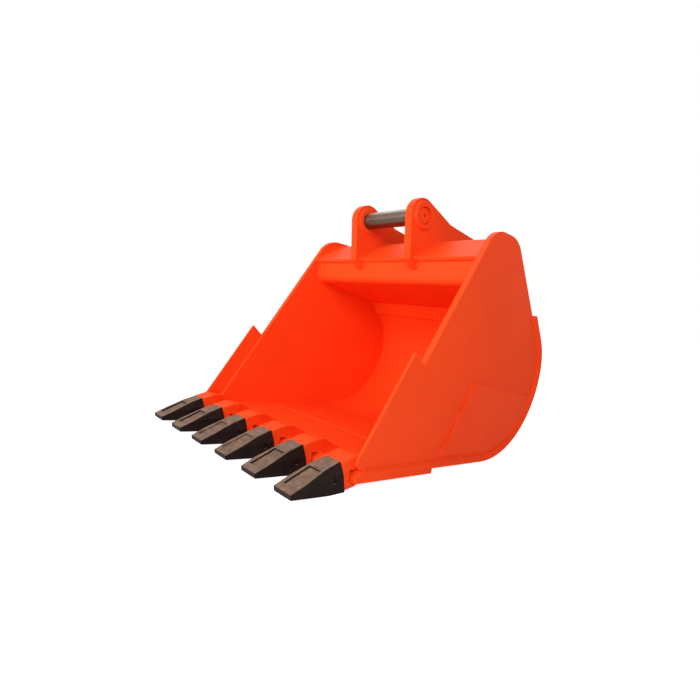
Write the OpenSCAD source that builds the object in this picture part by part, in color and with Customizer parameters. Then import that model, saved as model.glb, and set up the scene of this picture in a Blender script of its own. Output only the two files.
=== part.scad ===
// Toothed digging bucket for an excavator, with two hanger pins.
// Built in a bucket frame: Y runs from the teeth to the heel, Z is up from the underside of the lip,
// and Y zero is below the centre of the heel curve. stand() then sets it down on its teeth and heel.

/* [Shell] */
// Width over the side plates at the front of the lip
bucket_w = 1198; // [1100:1:1300]
// Angle at which each side plate closes in towards the heel
side_taper = 2.5; // [1:0.1:3]
// Thickness of the curved wrapper
wrapper_t = 20; // [14:1:24]
// Outside radius of the heel, below the rearmost line
heel_r = 428; // [410:1:440]
// Outside radius of the back, above the rearmost line
crown_r = 252; // [240:1:265]
// Lean of the straight back above the crown
back_lean = 36.4; // [35:0.1:38]
// Straight length of the wrapper above the crown
wrapper_tail_len = 123; // [110:1:135]
// How far lip and wrapper stand out past each side plate
ledge = 12; // [8:1:20]

/* [Lip] */
// Thickness of the lip
lip_t = 40; // [34:1:46]
// Length of the lip, front to back
lip_len = 415; // [390:1:430]
// Distance of the lip's front edge ahead of the mouth line, at the top of the lip
lip_ahead = 77; // [74:1:90]
// Thickness left at the lip's front edge
lip_edge_t = 22; // [16:1:28]
// Length of the bevel on top of the lip
lip_bevel = 28; // [20:1:36]

/* [Side plates] */
// Thickness of a side plate
plate_t = 28; // [24:1:32]
// Thickness of a side cutter, let in flush on the outside
cutter_t = 14; // [10:1:18]
// Angle of the mouth above the lip
mouth_angle = 60.4; // [59.4:0.1:61.4]
// How far up the mouth the notch above the cutting point lies
notch_up = 424; // [390:1:450]
// How far the lower front edge stands ahead of the mouth line
cutter_step = 72; // [64:1:78]
// How much higher than square the cutting point rises
point_rise = 13; // [6:1:20]
// Radius of the round top of a side plate
lobe_r = 120; // [114:1:128]
// Height of the top's round corners above the heel centre
lobe_up = 433; // [420:1:446]
// Length of the flat between the two round corners
crest_len = 56; // [40:1:72]
// How far the side cutter is let in behind the mouth line
cutter_back = 95; // [85:1:110]

/* [Side wear plates] */
// Thickness of the plate on the lower side
side_wear_t = 8; // [6:1:12]
// Width of the weld land round the side wear plate
wear_land = 22; // [16:1:30]
// Depth of the side wear plate's upper front corner below the heel centre
side_wear_drop = 86; // [60:1:110]
// Fall of the side wear plate's top edge towards the heel
side_wear_fall = 6; // [0:0.5:10]
// Distance of the side wear plate behind the mouth line
side_wear_back = 322; // [300:1:345]

/* [Torque tube] */
// Thickness of the shell over the top and back of the tube
shell_t = 16; // [12:1:20]
// How far the shell lies inside the round top of the side plates
lobe_inset = 10; // [6:1:14]
// Depth of the shell's front edge below the centres of the round corners
tube_edge_drop = 8.5; // [2:0.5:14]
// Distance of that edge behind the mouth line
tube_setback = 4; // [2:1:8]
// Thickness of the plate that closes the front and the underside
tube_front_t = 12; // [10:1:16]
// Overhang of the shell's edge in front of that plate
tube_overhang = 12; // [6:1:16]
// Height of the tube's flat front face
tube_face_h = 79; // [70:1:90]
// Lean of the front face
tube_face_lean = 8; // [4:0.5:12]
// Outside radius of the bend below the front face
tube_bend_r = 36; // [28:1:44]
// Slope of the tube's underside towards the back
tube_floor_fall = 8.5; // [6:0.5:11]
// Length of the lap between shell and wrapper
shell_lap = 55; // [40:1:65]

/* [Ears] */
// Clear width between the ears
ear_gap = 332; // [300:1:360]
// Thickness of an ear
ear_t = 40; // [32:1:45]
// Distance of the front pin ahead of the front round corner's centre
front_pin_ahead = 121; // [115:1:127]
// Height of the front pin above the top of the side plates
front_pin_up = 67; // [62:1:73]
// Radius of the ear round the front pin
front_ear_r = 80; // [76:1:88]
// Distance of the rear pin behind the rear round corner
rear_pin_back = 144; // [138:1:150]
// Depth of the rear pin below the top of the side plates
rear_pin_drop = 31; // [25:1:37]
// Radius of the ear round the rear pin
rear_ear_r = 75; // [72:1:80]
// Outside radius of a pin boss
boss_r = 62; // [58:1:66]
// How far a boss stands out on the outside of its ear
boss_out = 14; // [10:1:20]
// How far a boss stands out on the inside of its ear
boss_in = 10; // [6:1:14]

/* [Pins] */
// Radius of a hanger pin
pin_r = 40; // [36:0.5:42]
// Length of the chamfer on a pin's free end
pin_chamfer = 8; // [4:1:10]
// Distance of a pin's free end inside its boss
pin_recess = 6; // [2:1:10]
// Radial clearance of a pin in its bosses
pin_clear = 0.05; // [0.02:0.01:0.08]
// Thickness of a pin's keeper plate
flag_t = 12; // [8:1:16]
// Distance from a pin to its keeper bolt
keeper_reach = 96; // [92:1:104]
// Radius of a keeper bolt
bolt_r = 8; // [6:0.5:10]

/* [Teeth] */
// Length of a tooth
tooth_len = 205; // [190:1:220]
// Height of a tooth at its rear
tooth_h = 103; // [98:1:108]
// Thickness of a tooth at its tip
tooth_tip_t = 18; // [12:1:24]
// Width of a tooth at its rear
tooth_w = 111; // [106:1:116]
// Width of a tooth's ridge at the rear, which its flared sides run down from
tooth_ridge_w = 76; // [70:1:90]
// Width of a tooth at its tip
tooth_tip_w = 97; // [90:1:104]
// Angle at which the teeth point down from the lip
tooth_dip = 14; // [12:0.5:16]
// Distance of a tooth's rear face ahead of the lip, along the lip
tooth_ahead = 32; // [28:1:40]
// Height of a tooth's rear centre above the lip's underside
tooth_z = 20; // [16:1:24]
// Width of an adapter
adapter_w = 96; // [90:1:102]
// Radius of a tooth lock pin
lock_r = 11; // [9:0.5:13]

/* [Hidden] */
$fn = 96;
paint = "orangered";
steel = "silver";
tooth_iron = "dimgray";

tooth_count = 6;
// How far a round end stands proud of the flats that run into it, so that they never just graze
proud = cutter_t / 50;
// Gap at a sloping joint between two plates, which the weld closes
seam = cutter_t / 200;
cut = lip_t;

// Directions, as unit vectors in the side view
function unit(a) = [cos(a), sin(a)];
function offset_of(p, n) = p.x * n.x + p.y * n.y;
// Point where the line through p along angle a meets the line through q along angle b
function meet(p, a, q, b) = p + unit(a) * cross(q - p, unit(b)) / cross(unit(a), unit(b));
// Point on a line, given by its normal n and offset d, at height z
function on_line(n, d, z) = [(d - n.y * z) / n.x, z];
// Point where a tangent from p touches the circle round c, on the side s
function touch(c, r, p, s) = c + r * unit(atan2(p.y - c.y, p.x - c.x) + s * acos(r / norm(p - c)));

// Main levels of the shell in the side view
heel_c = [0, lip_t - wrapper_t + heel_r];
crown_c = [heel_r - crown_r, heel_c.y];
inner_heel_r = heel_r - wrapper_t;
inner_crown_r = crown_r - wrapper_t;
tail_r = inner_crown_r - proud;
back_n = unit(back_lean);
back_run = back_lean + 90;
back_off = offset_of(crown_c, back_n) + tail_r - seam;
wrapper_top = crown_c + tail_r * back_n + wrapper_tail_len * unit(back_run);

// Mouth line, cutting point and round top of the side plates
mouth_n = unit(mouth_angle + 90);
mouth_u = unit(mouth_angle);
lobe_z = heel_c.y + lobe_up;
rear_lobe_c = on_line(back_n, back_off - lobe_r, lobe_z);
front_lobe_c = rear_lobe_c - [crest_len, 0];
mouth_off = offset_of(front_lobe_c, mouth_n) + lobe_r;
mouth_foot = on_line(mouth_n, mouth_off, lip_t);
lip_front = mouth_foot.x - lip_ahead;
lip_rear = lip_front + lip_len;
reach_all = -2 * lip_front;
notch_p = mouth_foot + notch_up * mouth_u;
point_p = notch_p + cutter_step * mouth_n + point_rise * mouth_u;
cutter_off = mouth_off + cutter_step;
bevel_start = lip_front + lip_bevel;
toe_h = lip_t - lip_edge_t;

// Torque tube
shell_r = lobe_r - lobe_inset;
shell_c = on_line(back_n, back_off - shell_r, lobe_z);
shell_edge = on_line(mouth_n, mouth_off - tube_setback, lobe_z - tube_edge_drop);
shell_touch = touch(shell_c, shell_r, shell_edge, -1);
shell_slope = atan2(shell_touch.y - shell_edge.y, shell_touch.x - shell_edge.x);
shell_n = unit(shell_slope + 90);
shell_down = shell_c + shell_r * back_n;
shell_back_len = norm(wrapper_top - shell_down) + shell_lap;
face_run = tube_face_lean - 90;
face_top = shell_edge + tube_overhang * unit(shell_slope) - shell_t * shell_n;
face_end = face_top + tube_face_h * unit(face_run);
bend_c = face_end + tube_bend_r * unit(face_run + 90);
floor_run = -tube_floor_fall;
floor_start = bend_c + tube_bend_r * unit(floor_run - 90);
back_inside = back_n * (back_off - shell_t);

// Ears and pins
ear_in = ear_gap / 2;
ear_out = ear_in + ear_t;
front_pin_c = front_lobe_c + [-front_pin_ahead, lobe_r + front_pin_up];
rear_pin_c = rear_lobe_c + [lobe_r + rear_pin_back, lobe_r - rear_pin_drop];
ear_toe = shell_edge - [ear_t * 0.75, shell_t * 0.75];
ear_tip = meet(ear_toe, tube_face_lean - 45, face_top, face_run);
ear_saddle = front_pin_c + [front_ear_r * 2.5, front_ear_r * 0.1];
ear_heel = meet(back_n * back_off, back_run, wrapper_top + ear_t * 1.5 * unit(back_run), back_lean);
bore_r = pin_r + pin_clear;
front_keeper_angle = -5;
rear_keeper_angle = 165;
flag_r = pin_r * 1.25;
flag_arm_r = bolt_r * 3.2;
block_w = bolt_r * 6;
bolt_hole_r = bolt_r + pin_clear;
bolt_depth = ear_t * 0.7;
bolt_head_af = bolt_r * 3;
bolt_head_h = bolt_r * 1.25;
washer_r = bolt_r * 1.9;
washer_t = bolt_r * 0.4;
keeper_x = -(ear_out + boss_out);

// Teeth, in a frame of their own: U forward along the tooth, V up from its axis
tooth_c = [lip_front - tooth_ahead, tooth_z];
seat_gap = bolt_r * 0.35;
shoulder_h = tooth_h * 0.97;
knee_u = tooth_len * 0.3;
knee_h = tooth_h * 0.84;
nose_len = tooth_len * 0.54;
nose_h = tooth_h * 0.68;
nose_tip_h = tooth_h * 0.24;
nose_w = tooth_w * 0.64;
nose_tip_w = tooth_w * 0.52;
nose_root = seat_gap * 2;
pocket_gap = seat_gap / 2;
lock_u = tooth_len * 0.2;
lock_len = tooth_w * 0.9;
lock_clear = pin_clear;
ring_r = lock_r * 1.7;
ring_t = lock_r * 0.25;
half_front = bucket_w / 2;
tooth_pitch = (2 * (half_front - cutter_t - pocket_gap) - adapter_w) / (tooth_count - 1);

// Adapter legs over and under the lip, as heights and as shares of their reach
leg_reach = lip_len * 0.32;
under_reach = lip_len * 0.2;
leg_h = lip_t * 1.2;
leg_end_h = lip_t * 0.35;
under_h = lip_t * 0.4;
under_end_h = lip_t * 0.2;
leg_end_w = adapter_w * 0.6;

// Attitude at rest: the teeth's lower knees and the heel lie on the floor
tooth_u = unit(180 + tooth_dip);
tooth_v = unit(90 + tooth_dip);
tip_low = tooth_c + tooth_len * tooth_u - tooth_tip_t / 2 * tooth_v;
tip_high = tooth_c + tooth_len * tooth_u + tooth_tip_t / 2 * tooth_v;
belly_low = tooth_c + knee_u * tooth_u - knee_h / 2 * tooth_v;
belly_to_heel = heel_c - belly_low;
rest_tilt = atan2(belly_to_heel.y, belly_to_heel.x) - asin(heel_r / norm(belly_to_heel));
function turned(p) = [p.x * cos(rest_tilt) + p.y * sin(rest_tilt),
    p.y * cos(rest_tilt) - p.x * sin(rest_tilt)];
rear_most = turned(crown_c).x + crown_r;
front_most = min(turned(tip_low).x, turned(tip_high).x);
rest_shift = [-(rear_most + front_most) / 2, -turned(belly_low).y];

// Half width to the outer face of a side plate at the place y
function half_w(y) = half_front - tan(side_taper) * (y - lip_front);

module stand() {
    translate([0, rest_shift.x, rest_shift.y]) rotate([-rest_tilt, 0, 0]) children();
}

// Side-view outline drawn across the whole width
module across(w = 2 * reach_all) {
    rotate([90, 0, 90]) linear_extrude(height = w, center = true) children();
}

// Upright prism on the plan between two offsets from the right-hand side plate
module side_band(inner, outer) {
    translate([0, 0, -reach_all]) linear_extrude(height = 2 * reach_all)
        polygon([[half_w(-reach_all) + inner, -reach_all], [half_w(-reach_all) + outer, -reach_all],
            [half_w(reach_all) + outer, reach_all], [half_w(reach_all) + inner, reach_all]]);
}

// Upright prism on the plan between both side plates, less or plus an offset
module full_band(outer) {
    translate([0, 0, -reach_all]) linear_extrude(height = 2 * reach_all)
        polygon([[-half_w(-reach_all) - outer, -reach_all], [half_w(-reach_all) + outer, -reach_all],
            [half_w(reach_all) + outer, reach_all], [-half_w(reach_all) - outer, reach_all]]);
}

// Slice of a disc between two angles less than a half turn apart
module pie(c, r, a0, a1) {
    intersection() {
        translate(c) circle(r = r);
        polygon([c, c + 2 * r * unit(a0), c + 2 * r * unit(a1)]);
    }
}

// Region inside a skin that lies a distance t outside the wrapper's inner face, run on past both ends
module inside_wrapper(t, over) {
    tail = crown_c + (tail_r + t) * back_n;
    tail_end = tail + (wrapper_tail_len + over) * unit(back_run);
    polygon([[lip_rear - over, lip_t - t], [0, lip_t - t], heel_c + inner_heel_r / 2 * unit(-45), tail,
        tail_end, tail_end - (t + cut) * back_n, [lip_rear - over, lip_t + cut]]);
    pie(crown_c, inner_crown_r + t, 0, back_lean + 20);
    pie(heel_c, inner_heel_r + t, -100, 0);
}

// Outline of a whole side, cutter included
module side_outline() {
    polygon([[bevel_start, lip_t], [0, lip_t], heel_c + inner_heel_r / 2 * unit(-45),
        crown_c + tail_r * back_n,
        rear_lobe_c + lobe_r * back_n, rear_lobe_c + [0, lobe_r], front_lobe_c + [0, lobe_r],
        front_lobe_c + lobe_r * mouth_n, notch_p, point_p, on_line(mouth_n, cutter_off, lip_t + toe_h)]);
    translate(front_lobe_c) circle(r = lobe_r + proud);
    translate(rear_lobe_c) circle(r = lobe_r + proud);
    pie(crown_c, inner_crown_r, 0, back_lean + 20);
    pie(heel_c, inner_heel_r, -100, 0);
}

// Region taken up by the side cutter, let in flush in front of its rear edge, and run on above the notch
module cutter_region(over) {
    rear = -cutter_back * mouth_n;
    polygon([on_line(mouth_n, cutter_off + cut, 0), on_line(mouth_n, mouth_off - cutter_back, 0),
        notch_p + rear, notch_p, notch_p + over * mouth_n, point_p + cut * mouth_u,
        point_p + cut * mouth_n]);
}

// Region in front of the mouth line, up to the notch
module ahead_of_mouth() {
    polygon([on_line(mouth_n, cutter_off + cut, 0), on_line(mouth_n, mouth_off, 0),
        notch_p, point_p + cut * mouth_u, point_p + cut * (mouth_n + mouth_u)]);
}

// Outline of the wear plate on the lower side
module side_wear_outline() {
    front_off = mouth_off - side_wear_back;
    top_front = on_line(mouth_n, front_off, heel_c.y - side_wear_drop);
    foot = on_line(mouth_n, front_off, lip_t + wear_land);
    land_r = inner_heel_r - wear_land;
    intersection() {
        polygon([foot, top_front, top_front + heel_r * 2 * unit(-side_wear_fall), [heel_r * 2, foot.y]]);
        union() {
            translate(heel_c) circle(r = land_r);
            translate([-heel_r, foot.y]) square([heel_r, heel_r]);
        }
    }
}

// Region under the shell of the torque tube, d inside its outer face, run on past both ends,
// and as deep at each end as stated
module under_shell(d, over, deep) {
    edge = shell_edge - d * shell_n - over * unit(shell_slope);
    tail = shell_c + (shell_r - d) * back_n;
    tail_end = tail + (shell_back_len + over) * unit(back_run + 180);
    rest = deep - d;
    polygon([edge, edge - rest * shell_n, tail_end - rest * back_n, tail_end, tail, shell_c,
        shell_touch - d * shell_n]);
    pie(shell_c, shell_r - d + proud, back_lean - 20, shell_slope + 110);
}

// Region of the torque tube's front and underside, d inside their outer faces and run on into the shell
module behind_front(d, over) {
    in_n = unit(face_run + 90);
    up_n = unit(floor_run + 90);
    polygon([meet(face_top + d * in_n, face_run, face_top + over * shell_n, shell_slope),
        face_end + d * in_n, bend_c, floor_start + d * up_n,
        meet(floor_start + d * up_n, floor_run, back_inside + over * back_n, back_run),
        shell_c + (shell_r - shell_t + over) * back_n, shell_c + [0, over],
        shell_touch + (over - shell_t) * shell_n]);
    translate(bend_c) circle(r = tube_bend_r - d + proud);
}

// Region inside the outer faces of the torque tube, with room for the weld round it
module tube_region() {
    under_shell(-seam, 0, shell_t);
    behind_front(-seam, 0);
}

// Outline of an ear, seated on the tube
module ear_outline() {
    front_touch = touch(front_pin_c, front_ear_r, ear_toe, -1);
    saddle_touch = touch(front_pin_c, front_ear_r, ear_saddle, 1);
    rear_top_touch = touch(rear_pin_c, rear_ear_r, ear_saddle, -1);
    rear_touch = touch(rear_pin_c, rear_ear_r, ear_heel, 1);
    difference() {
        union() {
            polygon([front_touch, ear_toe, ear_tip + (ear_tip - ear_toe), shell_c,
                ear_heel + cut / norm(ear_heel - rear_touch) * (ear_heel - rear_touch), rear_touch,
                rear_pin_c, rear_top_touch, ear_saddle, saddle_touch, front_pin_c]);
            translate(front_pin_c) circle(r = front_ear_r + proud);
            translate(rear_pin_c) circle(r = rear_ear_r + proud);
        }
        tube_region();
    }
}

// Round bar along X between two places, at a point of the side view
module rod(p, r, x0, x1) {
    translate([x0, p.x, p.y]) rotate([0, 90, 0]) cylinder(h = x1 - x0, r = r);
}

function keeper_p(c, a) = c + keeper_reach * unit(a);

// Side plate behind the mouth line, with a rebate outside for the cutter
module right_side_plate() {
    difference() {
        intersection() {
            across() difference() {
                side_outline();
                ahead_of_mouth();
            }
            side_band(-plate_t, 0);
        }
        intersection() {
            across() cutter_region(cut);
            side_band(-cutter_t, cut);
        }
    }
}

module right_side_cutter() {
    intersection() {
        across() intersection() {
            side_outline();
            cutter_region(0);
        }
        side_band(-cutter_t, 0);
    }
}

module right_side_wear_plate() {
    intersection() {
        across() side_wear_outline();
        side_band(0, side_wear_t);
    }
}

module wrapper() {
    color(paint) stand() intersection() {
        across() difference() {
            inside_wrapper(wrapper_t, 0);
            inside_wrapper(0, cut);
        }
        full_band(ledge);
    }
}

module lip() {
    color(paint) stand() intersection() {
        across() polygon([[lip_front, 0], [lip_rear, 0], [lip_rear, lip_t], [bevel_start, lip_t],
            [lip_front, lip_edge_t]]);
        full_band(ledge);
    }
}

module tube_shell() {
    color(paint) stand() intersection() {
        across() difference() {
            under_shell(0, 0, shell_t + cut);
            under_shell(shell_t, cut, shell_t + cut);
        }
        full_band(-plate_t);
    }
}

module tube_front() {
    color(paint) stand() intersection() {
        across() difference() {
            behind_front(0, -seam);
            behind_front(tube_front_t, cut);
        }
        full_band(-plate_t);
    }
}

// Ear at the right, or at the left with the holes for the keeper bolts
module ear(side) {
    x0 = side > 0 ? ear_in : -ear_out;
    color(paint) stand() difference() {
        translate([x0 + ear_t / 2, 0, 0]) across(ear_t) ear_outline();
        rod(front_pin_c, boss_r, x0 - cut, x0 + ear_t + cut);
        rod(rear_pin_c, boss_r, x0 - cut, x0 + ear_t + cut);
        if (side < 0) {
            rod(keeper_p(front_pin_c, front_keeper_angle), bolt_hole_r,
                -ear_out - cut, -ear_out + bolt_depth);
            rod(keeper_p(rear_pin_c, rear_keeper_angle), bolt_hole_r, -ear_out - cut, -ear_out + bolt_depth);
        }
    }
}

module boss(c, side) {
    x0 = side > 0 ? ear_in - boss_in : -ear_out - boss_out;
    x1 = side > 0 ? ear_out + boss_out : -ear_in + boss_in;
    color(paint) stand() difference() {
        rod(c, boss_r, x0, x1);
        rod(c, bore_r, x0 - cut, x1 + cut);
    }
}

module keeper_blocks() {
    places = [keeper_p(front_pin_c, front_keeper_angle), keeper_p(rear_pin_c, rear_keeper_angle)];
    color(paint) stand() for (k = places) difference() {
        translate([-ear_out - boss_out, k.x - block_w / 2, k.y - block_w / 2])
            cube([boss_out, block_w, block_w]);
        rod(k, bolt_hole_r, -ear_out - boss_out - cut, -ear_out + cut);
    }
}

// Hanger pin, with a chamfer and a centre hole on its free end
module hanger_pin(c) {
    end_x = ear_out + boss_out - pin_recess;
    color(steel) stand() translate([keeper_x, c.x, c.y]) rotate([0, 90, 0]) difference() {
        rotate_extrude() polygon([[0, 0], [pin_r, 0], [pin_r, end_x - keeper_x - pin_chamfer],
            [pin_r - pin_chamfer, end_x - keeper_x], [0, end_x - keeper_x]]);
        translate([0, 0, end_x - keeper_x - bolt_depth]) cylinder(h = bolt_depth + cut, r = bolt_r);
    }
}

module keeper_plate(c, a) {
    k = keeper_p(c, a);
    color(paint) stand() difference() {
        translate([keeper_x - flag_t / 2, 0, 0]) across(flag_t) {
            translate(c) circle(r = flag_r);
            translate(k) circle(r = flag_arm_r + proud);
            translate(c) rotate(a) translate([0, -flag_arm_r]) square([keeper_reach, 2 * flag_arm_r]);
        }
        rod(k, bolt_hole_r, keeper_x - flag_t - cut, keeper_x + cut);
    }
}

module keeper_bolt(c, a) {
    k = keeper_p(c, a);
    flag_x = keeper_x - flag_t;
    tip_x = -ear_out + bolt_depth - washer_t;
    color(steel) stand() {
        rod(k, bolt_r, flag_x - washer_t, tip_x);
        rod(k, washer_r, flag_x - washer_t, flag_x);
        translate([flag_x - washer_t - bolt_head_h, k.x, k.y]) rotate([0, 90, 0])
            cylinder(h = bolt_head_h, r = bolt_head_af / 2 / cos(30), $fn = 6);
    }
}

// Place of tooth i across the lip, counted from the left
function tooth_x(i) = (i - (tooth_count + 1) / 2) * tooth_pitch;

// Tooth frame of tooth i: local X across, local Y rearward along the tooth, local Z up
module at_tooth(i) {
    translate([tooth_x(i), tooth_c.x, tooth_c.y]) rotate([tooth_dip, 0, 0]) children();
}

// Wedge from widths and heights at two distances ahead of the tooth's rear face
module wedge(u0, w0, h0, u1, w1, h1) {
    intersection() {
        across(2 * tooth_w) polygon([[-u0, -h0 / 2], [-u0, h0 / 2], [-u1, h1 / 2], [-u1, -h1 / 2]]);
        translate([0, 0, -tooth_h]) linear_extrude(height = 2 * tooth_h)
            polygon([[-w0 / 2, -u0], [w0 / 2, -u0], [w1 / 2, -u1], [-w1 / 2, -u1]]);
    }
}

// Outline of a tooth from the side: a stout rear, then a straight wedge to the tip
module tooth_side() {
    polygon([[0, -tooth_h / 2], [0, tooth_h / 2], [-knee_u, knee_h / 2], [-tooth_len, tooth_tip_t / 2],
        [-tooth_len, -tooth_tip_t / 2], [-knee_u, -knee_h / 2]]);
}

// Cross-section of a tooth, with sides that flare from the ridge down to the middle
module tooth_section() {
    rotate([90, 0, 0]) linear_extrude(height = 4 * tooth_len, center = true)
        polygon([[-tooth_w / 2, -tooth_h], [tooth_w / 2, -tooth_h], [tooth_w / 2, tooth_h * 0.08],
            [tooth_ridge_w / 2, tooth_h / 2 + seam], [-tooth_ridge_w / 2, tooth_h / 2 + seam],
            [-tooth_w / 2, tooth_h * 0.08]]);
}

// Panel let into the top of a tooth between its side ribs
module tooth_panel() {
    panel_u0 = tooth_len * 0.36;
    panel_u1 = tooth_len * 0.88;
    panel_w = tooth_tip_w * 0.66;
    panel_d = tooth_tip_t * 0.45;
    top_fall = atan2((knee_h - tooth_tip_t) / 2, tooth_len - knee_u);
    translate([0, -knee_u, knee_h / 2]) rotate([top_fall, 0, 0])
        translate([-panel_w / 2, -(panel_u1 - knee_u), -panel_d])
        cube([panel_w, panel_u1 - panel_u0, panel_d + cut]);
}

module lock_hole(x0, x1) {
    rod([-lock_u, 0], lock_r + lock_clear, x0, x1);
}

module tooth(i) {
    color(tooth_iron) stand() at_tooth(i) difference() {
        intersection() {
            across(2 * tooth_w) tooth_side();
            translate([0, 0, -tooth_h]) linear_extrude(height = 2 * tooth_h)
                polygon([[-tooth_w / 2, 0], [tooth_w / 2, 0], [tooth_tip_w / 2, -tooth_len],
                    [-tooth_tip_w / 2, -tooth_len]]);
            tooth_section();
        }
        wedge(-nose_root, nose_w + 2 * pocket_gap, nose_h + 2 * pocket_gap, nose_len + pocket_gap,
            nose_tip_w + 2 * pocket_gap, nose_tip_h + 2 * pocket_gap);
        tooth_panel();
        lock_hole(-tooth_w, tooth_w);
    }
}

// Body of an adapter: forked over the lip behind, square shoulder in front
module adapter_body() {
    shoulder = tooth_c - seat_gap * tooth_u;
    top_p = shoulder + shoulder_h / 2 * tooth_v;
    low_p = shoulder - shoulder_h / 2 * tooth_v;
    hump_y = lip_front + lip_bevel / 2;
    intersection() {
        across(2 * adapter_w) polygon([low_p, top_p, [hump_y, lip_t + leg_h],
            [hump_y + leg_reach * 0.35, lip_t + leg_h * 0.96], [lip_front + leg_reach, lip_t + leg_end_h],
            [lip_front + leg_reach, lip_t], [lip_front - seat_gap, lip_t], [lip_front - seat_gap, 0],
            [lip_front + under_reach, 0], [lip_front + under_reach, -under_end_h],
            [lip_front + lip_bevel, -under_h]]);
        translate([0, 0, -reach_all / 2]) linear_extrude(height = reach_all)
            polygon([[-adapter_w / 2, lip_front - tooth_len], [adapter_w / 2, lip_front - tooth_len],
                [adapter_w / 2, lip_front + lip_bevel], [leg_end_w / 2, mouth_foot.x],
                [leg_end_w / 2, lip_front + leg_reach], [-leg_end_w / 2, lip_front + leg_reach],
                [-leg_end_w / 2, mouth_foot.x], [-adapter_w / 2, lip_front + lip_bevel]]);
    }
}

module adapter(i) {
    color(paint) stand() difference() {
        union() {
            translate([tooth_x(i), 0, 0]) adapter_body();
            at_tooth(i) wedge(-nose_root, nose_w, nose_h, nose_len, nose_tip_w, nose_tip_h);
        }
        at_tooth(i) {
            lock_hole(-tooth_w, tooth_w);
            rod([-lock_u, 0], ring_r + lock_clear, -tooth_w, -nose_tip_w / 2);
        }
    }
}

module lock_pin(i) {
    color(steel) stand() at_tooth(i) rod([-lock_u, 0], lock_r, -lock_len / 2, lock_len / 2);
}

// Retaining rings, each in the counterbore at the left of a nose
module lock_rings() {
    color(steel) stand() for (i = [1:tooth_count]) at_tooth(i) difference() {
        rod([-lock_u, 0], ring_r, -nose_tip_w / 2 - ring_t, -nose_tip_w / 2);
        lock_hole(-tooth_w, tooth_w);
    }
}

module side_plate_left() { color(paint) stand() mirror([1, 0, 0]) right_side_plate(); }
module side_plate_right() { color(paint) stand() right_side_plate(); }
module side_cutter_left() { color(paint) stand() mirror([1, 0, 0]) right_side_cutter(); }
module side_cutter_right() { color(paint) stand() right_side_cutter(); }
module side_wear_plate_left() { color(paint) stand() mirror([1, 0, 0]) right_side_wear_plate(); }
module side_wear_plate_right() { color(paint) stand() right_side_wear_plate(); }

side_plate_left();
side_plate_right();
side_cutter_left();
side_cutter_right();
side_wear_plate_left();
side_wear_plate_right();
wrapper();
lip();
tube_shell();
tube_front();
ear(-1);  // ear_left
ear(1);  // ear_right
boss(front_pin_c, -1);  // front_boss_left
boss(front_pin_c, 1);  // front_boss_right
boss(rear_pin_c, -1);  // rear_boss_left
boss(rear_pin_c, 1);  // rear_boss_right
keeper_blocks();
hanger_pin(front_pin_c);  // front_pin
keeper_plate(front_pin_c, front_keeper_angle);  // front_keeper_plate
keeper_bolt(front_pin_c, front_keeper_angle);  // front_keeper_bolt
hanger_pin(rear_pin_c);  // rear_pin
keeper_plate(rear_pin_c, rear_keeper_angle);  // rear_keeper_plate
keeper_bolt(rear_pin_c, rear_keeper_angle);  // rear_keeper_bolt
adapter(1);  // adapter_1
adapter(2);  // adapter_2
adapter(3);  // adapter_3
adapter(4);  // adapter_4
adapter(5);  // adapter_5
adapter(6);  // adapter_6
tooth(1);  // tooth_1
tooth(2);  // tooth_2
tooth(3);  // tooth_3
tooth(4);  // tooth_4
tooth(5);  // tooth_5
tooth(6);  // tooth_6
lock_pin(1);  // lock_pin_1
lock_pin(2);  // lock_pin_2
lock_pin(3);  // lock_pin_3
lock_pin(4);  // lock_pin_4
lock_pin(5);  // lock_pin_5
lock_pin(6);  // lock_pin_6
lock_rings();
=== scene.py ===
"""Dresses the toothed digging bucket: enamelled plates with their welds, cast teeth and bare steel pins."""
import logging
import math
from dataclasses import dataclass, field
from enum import Enum

import bmesh
import bpy
from mathutils import Matrix, Vector


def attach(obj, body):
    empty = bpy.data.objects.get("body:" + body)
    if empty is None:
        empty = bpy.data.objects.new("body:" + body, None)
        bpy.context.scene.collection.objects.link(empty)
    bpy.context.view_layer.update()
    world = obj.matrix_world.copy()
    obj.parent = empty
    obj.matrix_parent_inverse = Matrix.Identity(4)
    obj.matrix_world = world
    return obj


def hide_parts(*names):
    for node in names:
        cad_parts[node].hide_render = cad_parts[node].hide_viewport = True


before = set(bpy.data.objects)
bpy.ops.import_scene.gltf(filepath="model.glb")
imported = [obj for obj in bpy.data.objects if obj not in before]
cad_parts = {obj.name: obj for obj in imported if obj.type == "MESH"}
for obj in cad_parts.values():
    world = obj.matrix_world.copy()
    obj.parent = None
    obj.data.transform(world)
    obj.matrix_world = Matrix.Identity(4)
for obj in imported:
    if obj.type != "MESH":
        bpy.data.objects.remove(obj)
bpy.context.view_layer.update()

MM = 0.001
QUARTER = 90.0
WHITE = (1, 1, 1, 1)
BLACK = (0, 0, 0, 1)

log = logging.getLogger("bucket")

Point = tuple[float, float]
Range = tuple[float, float]
Place = tuple[float, float, float]
Colour = tuple[float, float, float, float]


class Body(Enum):
    """Bodies that the pieces ride on."""

    BUCKET = "bucket"
    FRONT_PIN = "front_hanger_pin"
    REAR_PIN = "rear_hanger_pin"


class Slot(Enum):
    """Material slots of the record."""

    PAINT = "orange_paint"
    STEEL = "bright_steel"
    TOOTH = "tooth_iron"


def unit(angle: float) -> Vector:
    """Returns the direction at an angle in degrees, in the side view."""
    return Vector((math.cos(math.radians(angle)), math.sin(math.radians(angle))))


def on_line(normal: Vector, offset: float, height: float) -> Vector:
    """Finds the point of a line at a height.

    Args:
        normal: Unit normal of the line.
        offset: Distance of the line from the origin, along the normal.
        height: Height of the wanted point.

    Returns:
        The point, as (y, z).
    """
    return Vector(((offset - normal.y * height) / normal.x, height))


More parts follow.
